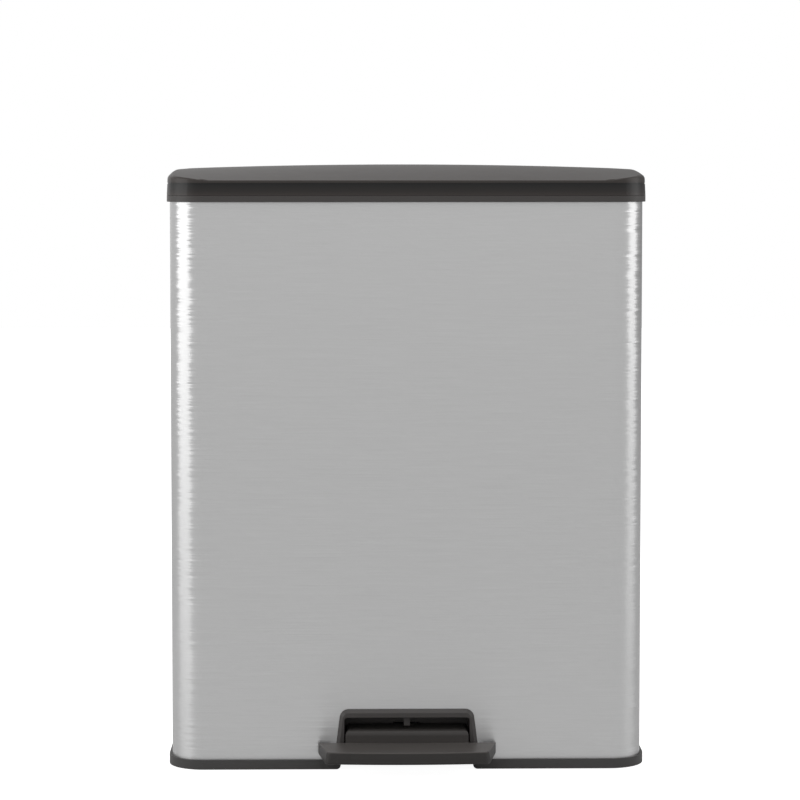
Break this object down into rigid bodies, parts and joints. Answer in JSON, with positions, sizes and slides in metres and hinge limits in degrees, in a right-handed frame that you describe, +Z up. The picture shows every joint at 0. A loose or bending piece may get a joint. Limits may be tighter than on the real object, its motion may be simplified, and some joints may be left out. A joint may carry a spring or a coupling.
{
  "type": "double recycling bin",
  "caption": "Pedal-operated recycling bin: a brushed steel sleeve on a plinth, a soft-closing lid, and twin lift-out buckets side by side.",
  "frame": {"origin": "on the floor, in the middle of the steel sleeve's footprint", "axes": "+Z up; -Y towards the person at the pedal; +X to that person's right"},
  "size_m": [0.5004, 0.4371, 0.6305],
  "materials": {
    "brushed_steel": "horizontally brushed, satin",
    "trim": "fine-textured moulding",
    "base": "fine-textured moulding",
    "inner_plastic": "plain moulding",
    "bucket_plastic": "plain moulding",
    "rubber": "matt",
    "mechanism_steel": "zinc plated",
    "fastener": "zinc plated",
    "damper_body": "satin black"
  },
  "bodies": {
    "housing": {"base_plinth": "base", "foot_pads": "rubber", "outer_shell": "brushed_steel", "rear_seam": "brushed_steel", "top_collar": "trim", "pedal_bezel": "trim", "housing_screws": "fastener", "pedal_axle": "mechanism_steel", "axle_clips": "fastener", "rear_spine": "inner_plastic", "rod_guides": "inner_plastic", "guide_screws": "fastener", "damper_cylinder": "damper_body", "damper_clamps": "inner_plastic", "hinge_pins": "mechanism_steel"},
    "lid": {"lid_cover": "trim", "lid_pan": "trim", "lid_screws": "fastener", "crank_screws": "fastener", "lid_crank": "mechanism_steel", "lid_bumpers": "rubber"},
    "pedal": {"pedal_tread": "trim", "pedal_lever": "mechanism_steel", "pedal_screws": "fastener", "lever_pin": "mechanism_steel"},
    "lift_gear": {"lift_rod": "mechanism_steel", "rod_foot": "inner_plastic", "rod_head": "inner_plastic", "crank_pin": "mechanism_steel", "damper_rod": "mechanism_steel", "damper_link": "inner_plastic"},
    "bucket_left": {"bucket_left": "bucket_plastic"},
    "bucket_right": {"bucket_right": "bucket_plastic"}
  },
  "joints": [
    {"name": "lid_hinge", "type": "hinge", "parent": "housing", "child": "lid", "pos_m": [0, 0.19, 0.597], "axis": [-1, 0, 0], "range_deg": [0, 75]},
    {"name": "pedal_pivot", "type": "hinge", "parent": "housing", "child": "pedal", "pos_m": [0, -0.122, 0.027], "axis": [1, 0, 0], "range_deg": [0, 7.33]},
    {"name": "lift_slide", "type": "slide", "parent": "housing", "child": "lift_gear", "axis": [0, 0, 1], "range_m": [0, 0.0369]},
    {"name": "bucket_left_lift", "type": "slide", "parent": "housing", "child": "bucket_left", "axis": [0, 0, 1], "range_m": [0, 0.008]},
    {"name": "bucket_right_lift", "type": "slide", "parent": "housing", "child": "bucket_right", "axis": [0, 0, 1], "range_m": [0, 0.008]}
  ],
  "couplings": [
    {"joint": "pedal_pivot", "follows": "lid_hinge", "ratio": 0.097615},
    {"joint": "lift_slide", "follows": "lid_hinge", "m_per_rad": 0.028113}
  ]
}
